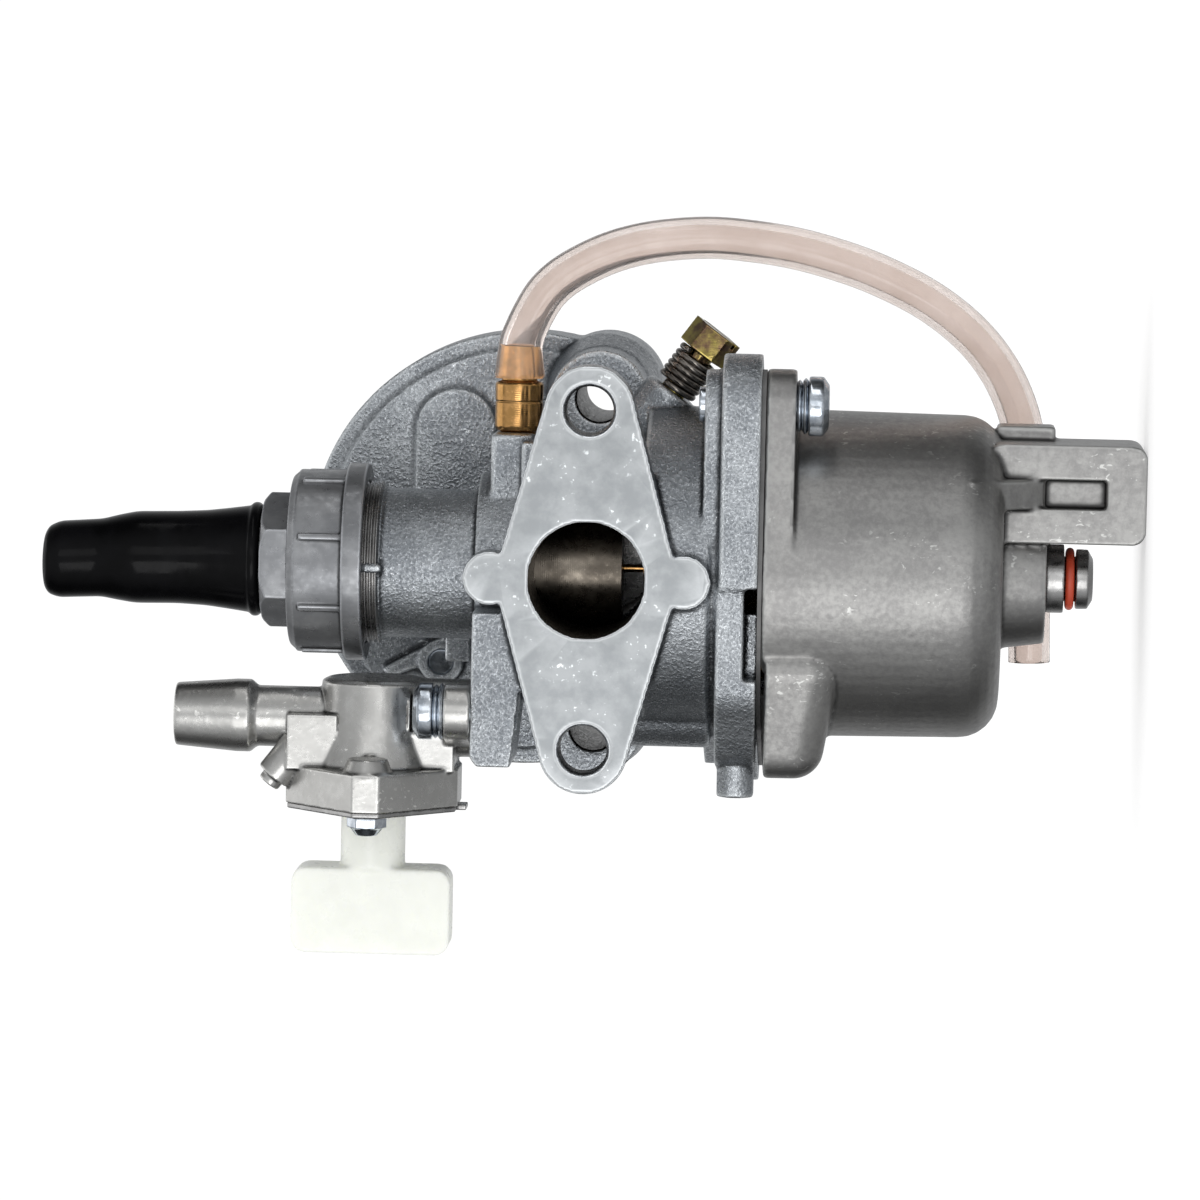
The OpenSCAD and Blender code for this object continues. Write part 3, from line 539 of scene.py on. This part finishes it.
def rubber_boot():
    boot = lathe("rubber_boot_skin", closed([
        (3.4, 37.85), (6.1, 37.85), (6.5, 38.3), (6.5, 38.9), (6.1, 39.3), (5.75, 41.8), (5.45, 44.2),
        (5.27, 47.5), (5.25, 52.3), (4.95, 54), (4.45, 56.3), (4.38, 61.1), (3.9, 62.3), (3.1, 62.78),
        (2.2, 62.78), (1.6, 62.2), (1.6, 53.4), (3.02, 52.1), (3.02, 43.9), (3.4, 43.2)]),
        Matrix.Translation(BARREL), 0.7)
    # the free end sags a little to the tap's side
    for vertex in boot.data.vertices:
        sag = max(0, vertex.co.z / MM - 45) / 18
        vertex.co.x -= 0.7 * sag * sag * MM
    finish(boot, MAT["black_rubber"], "black_rubber", "rubber_boot")


rubber_boot()


# ---- Springs ----

def coil_height(t, turns, z0, z1, wire):
    """Height of the wire after t turns: the first and last turn are closed."""
    if t < 1:
        return z0 + wire / 2 + wire * t
    if t > turns - 1:
        return z1 - wire / 2 - wire * (turns - t)
    return z0 + 1.5 * wire + (z1 - z0 - 3 * wire) * (t - 1) / (turns - 2)


def coil(name, place, r, turns, z0, z1, wire, start=0.0, sides=14):
    """Wire round place's Z, with radius r to its middle, from z0 to z1, in mm."""
    steps = 40 * turns
    path = []
    for i in range(steps + 1):
        t = turns * i / steps
        a = 2 * math.pi * t + start
        path.append(place @ (Vector((r * math.cos(a), r * math.sin(a),
                                     coil_height(t, turns, z0, z1, wire))) * MM))
    radius = wire / 2 * 0.97 * MM
    sections = [(0, radius * 0.8)] + [(i, radius) for i in range(steps + 1)] + [(steps, radius * 0.8)]
    return tube(name, path, sections, sides)


IDLE = along(Vector((19.7, 20, -8.1)) * MM, (0.805, 0, -0.594))
finish(coil("idle_spring_wire", IDLE, 2.2, 6, 0.7, 6, 0.82, math.radians(235)),
       MAT["spring_steel"], "spring_steel", "idle_spring")
LOW_END, HIGH_END, LIFT = 0.65, 31.62, 9.9      # the throttle spring's ends and the slide's travel, in mm
throttle_wire = coil("throttle_spring_wire", Matrix.Translation(BARREL), 5.3, 11, LOW_END, HIGH_END, 0.9)
finish(throttle_wire, MAT["spring_steel"], "spring_steel", "throttle_spring")
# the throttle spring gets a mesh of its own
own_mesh(throttle_wire)


# ---- Brass nipple and red seal ----

def vent_nipple():
    place = along(Vector((0, 18.6, 8.9)) * MM, (1, 0, 0))
    nipple = lathe("vent_nipple_brass", closed([
        (1, 11), (2, 11), (2, 15.3), (2.45, 15.42), (2.72, 15.9), (2.72, 18.6), (2.6, 18.75), (2.72, 18.9),
        (2.75, 20.7), (2.55, 20.95), (2.02, 21.1), (2.02, 21.6), (1.66, 25), (1.4, 25.2), (1, 25.2)]),
        place, 0.12)
    finish(nipple, MAT["brass"], "brass", "vent_nipple")


def drain_seal():
    middle, height, wire = 3.06, -53.97, 0.5
    circle = [(middle + wire * math.cos(a), height + wire * math.sin(a))
              for a in [2 * math.pi * i / 16 for i in range(17)]]
    ring = lathe("drain_seal_ring", circle, Matrix.Translation(BARREL), 0.01)
    finish(ring, MAT["red_seal"], "red_seal", "drain_seal")


def rounded_washers(name, places, rings, node):
    """Stack of washers with round rims, on each screw: rings gives (low, high, inner, outer) in mm."""
    made = []
    for k, place in enumerate(places):
        for j, (low, high, inner, outer) in enumerate(rings):
            soft = (high - low) * 0.45
            made.append(lathe(f"{name}_{k}_{j}", closed([
                (inner, low), (outer - soft, low), (outer, low + soft), (outer, high - soft),
                (outer - soft, high), (inner, high)]), place, soft * 0.5))
            finish(made[-1], MAT["zinc_screw"], "zinc_screw", body=BODY_OF[node])
    for piece in made:
        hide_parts(node)


vent_nipple()
drain_seal()
rounded_washers("bowl_washer", [Matrix.Translation(BARREL + Vector((s * 19.6, -s * 12.9, 0)) * MM)
                                for s in (-1, 1)],
                ((-24.14, -23.44, 2.02, 3.15), (-23.42, -22.83, 2.02, 2.95)), "bowl_screw_washers")
rounded_washers("tap_washer", [Matrix.Translation(Vector((-15.5, 4.9, 0)) * MM)],
                ((15.83, 16.4, 1.95, 3.2), (16.42, 17.03, 1.95, 3.05)), "tap_spring_washer")
# crisp thread between the ring nut and the plain barrel
PITCH, ROOT_R, CREST_R = 0.6, 8.8, 9.24
ridges = [(r, h + PITCH * turn) for turn in range(4)
          for r, h in ((ROOT_R, 24.0), (CREST_R, 24.22), (CREST_R, 24.32), (ROOT_R, 24.54))]
thread = lathe("barrel_thread", closed([(8.3, 23.9)] + ridges + [(8.3, 26.4)]),
               Matrix.Translation(BARREL), 0.1)
finish(thread, MAT["steel"], "steel", body=BODY_OF["carb_body"])


# ---- Floor, light and background ----

def pale(name, color):
    """Plain matt tone that gives off a little light, so that shadows on it stay soft."""
    s = Surface(name, Roughness=0.8, Specular_IOR_Level=0.0, Emission_Color=(1, 1, 1, 1),
                Emission_Strength=0.5)
    return s.out(s.blend(s.noise(3, 2), color, [c * 0.985 for c in color]))


def add_floor():
    low = cad_box[0][2]
    corners = [(x, y, low) for x, y in ((-4, -4), (4, -4), (4, 4), (-4, 4))]
    floor = add("floor", corners, [(0, 1, 2, 3)])
    floor.data.materials.append(pale("pale_floor", (0.56, 0.56, 0.56)))
    # metal reflects the shaded studio instead of a second bright plane
    floor.visible_glossy = False


def add_light(name, place, size, power):
    """Soft box at place, in metres, that faces the object."""
    data = bpy.data.lights.new(name, "AREA")
    data.shape = "RECTANGLE"
    data.size, data.size_y = size
    data.energy = power
    light = bpy.data.objects.new(name, data)
    light.matrix_world = along(Vector(place), Vector(place))
    scene.collection.objects.link(light)


def add_world():
    world = bpy.data.worlds.new("studio")
    scene.world = world
    world.use_nodes = True
    world.cycles.sampling_method = "NONE"
    tree = world.node_tree
    tree.nodes.clear()

    def node(kind, inputs=None, **settings):
        made = tree.nodes.new(kind)
        for key, value in settings.items():
            setattr(made, key, value)
        for key, value in (inputs or {}).items():
            if isinstance(value, bpy.types.NodeSocket):
                tree.links.new(value, made.inputs[key])
            else:
                made.inputs[key].default_value = value
        return made

    way = node("ShaderNodeSeparateXYZ", {0: node("ShaderNodeTexCoord").outputs["Generated"]})

    def side(axis, low, high, gain):
        """Light that grows to gain as the way along an axis goes from low to high."""
        return node("ShaderNodeMapRange", {
            "Value": way.outputs[axis], "From Min": low, "From Max": high, "To Min": 0.0, "To Max": gain},
            interpolation_type="SMOOTHSTEP").outputs["Result"]

    def plus(a, b):
        return node("ShaderNodeMath", {0: a, 1: b}, operation="ADD").outputs[0]

    ends = plus(side(2, 0.5, 1, 0.35), side(2, -0.6, -1, 0.35))
    glow = plus(plus(side(1, 0.05, -1, 0.72), side(1, 0.3, 1, 0.55)), plus(ends, 0.04))
    light = node("ShaderNodeBackground", {"Color": (0.97, 0.985, 1, 1), "Strength": glow})
    plain = node("ShaderNodeBackground", {"Color": (1, 1, 1, 1), "Strength": 1.05})
    # matt things and the background see plain white; metal reflects the shaded studio
    rays = node("ShaderNodeLightPath")
    matt = node("ShaderNodeMath", {0: 1.0, 1: rays.outputs["Is Glossy Ray"]},
                operation="SUBTRACT").outputs[0]
    seen = node("ShaderNodeMath", {0: matt, 1: rays.outputs["Is Transmission Ray"]},
                operation="MAXIMUM").outputs[0]
    mixed = node("ShaderNodeMixShader", {0: seen, 1: light.outputs[0], 2: plain.outputs[0]})
    node("ShaderNodeOutputWorld", {"Surface": mixed.outputs[0]})


add_floor()
add_world()
add_light("key", (-0.33, -1.0, -0.05), (0.55, 0.7), 2.6)
add_light("fill", (0.30, -1.0, 0.0), (0.35, 0.9), 0.8)
add_light("upper", (0.85, -0.25, 0.05), (0.12, 0.8), 0.5)
add_light("overhead", (0.0, 0.25, 0.9), (0.7, 0.7), 1.2)
scene.view_settings.view_transform = "Standard"
